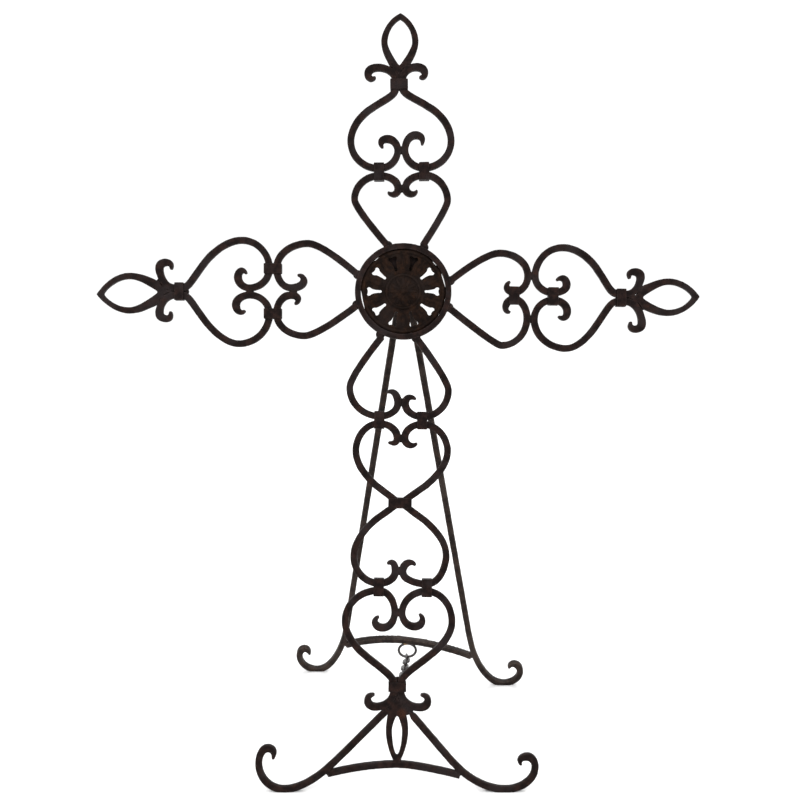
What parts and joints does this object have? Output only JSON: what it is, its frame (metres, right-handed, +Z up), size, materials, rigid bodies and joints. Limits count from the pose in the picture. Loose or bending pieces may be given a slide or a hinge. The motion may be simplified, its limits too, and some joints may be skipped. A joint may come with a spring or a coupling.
{
  "type": "standing cross",
  "caption": "Wrought iron scroll cross of mirrored heart scrolls round a pierced cast rosette, with almond loop finials, splayed curled feet and a hinged, chained easel back.",
  "frame": {"origin": "on the floor, under the middle of the standing cross", "axes": "+Z up, the scrollwork faces -Y, the easel back is at +Y"},
  "size_m": [0.6026, 0.289, 0.7614],
  "materials": {
    "iron": "forged iron with a dark brown, finely grained black coat",
    "cast_iron": "sand cast iron, dark with rust brown tints",
    "rear_iron": "forged iron, thinner and greyer dark brown coat",
    "wire": "bare drawn steel wire, dull grey"
  },
  "bodies": {
    "panel": {"hub_ring": "iron", "cast_rosette": "cast_iron", "top_inner_scroll_left": "iron", "top_inner_scroll_right": "iron", "top_outer_scroll_left": "iron", "top_outer_scroll_right": "iron", "left_inner_scroll_lower": "iron", "left_inner_scroll_upper": "iron", "left_outer_scroll_lower": "iron", "left_outer_scroll_upper": "iron", "right_inner_scroll_upper": "iron", "right_inner_scroll_lower": "iron", "right_outer_scroll_upper": "iron", "right_outer_scroll_lower": "iron", "stem_hub_scroll_right": "iron", "stem_hub_scroll_left": "iron", "stem_waist_scroll_right": "iron", "stem_waist_scroll_left": "iron", "stem_foot_scroll_right": "iron", "stem_foot_scroll_left": "iron", "top_collar_left": "iron", "top_collar_right": "iron", "top_finial_collar": "iron", "left_collar_lower": "iron", "left_collar_upper": "iron", "left_finial_collar": "iron", "right_inner_collar": "iron", "right_outer_collar": "iron", "right_finial_collar": "iron", "stem_upper_collar_right": "iron", "stem_upper_collar_left": "iron", "stem_lower_collar_right": "iron", "stem_lower_collar_left": "iron", "waist_collar": "iron", "neck_collar": "iron", "top_almond": "iron", "left_almond": "iron", "right_almond": "iron", "foot_almond": "iron", "front_leg_left": "iron", "front_leg_right": "iron", "front_arch": "iron", "hinge_leaf": "iron", "hinge_pin": "iron", "chain_eye": "wire", "chain_link_1": "wire", "chain_link_2": "wire", "chain_link_3": "wire", "chain_link_4": "wire", "chain_link_5": "wire", "chain_link_6": "wire", "chain_link_7": "wire", "chain_link_8": "wire"},
    "easel_back": {"rear_leg_left": "rear_iron", "rear_leg_right": "rear_iron", "rear_arch": "rear_iron", "rear_hinge_leaf": "rear_iron", "pull_ring": "wire"}
  },
  "joints": [
    {"name": "back_hinge", "type": "hinge", "parent": "panel", "child": "easel_back", "pos_m": [0.00642, -0.02243, 0.50862], "axis": [-1, 0, 0], "range_deg": [0, 25], "deforming": ["chain_link_1", "chain_link_2", "chain_link_3", "chain_link_4", "chain_link_5", "chain_link_6", "chain_link_7", "chain_link_8"]}
  ]
}
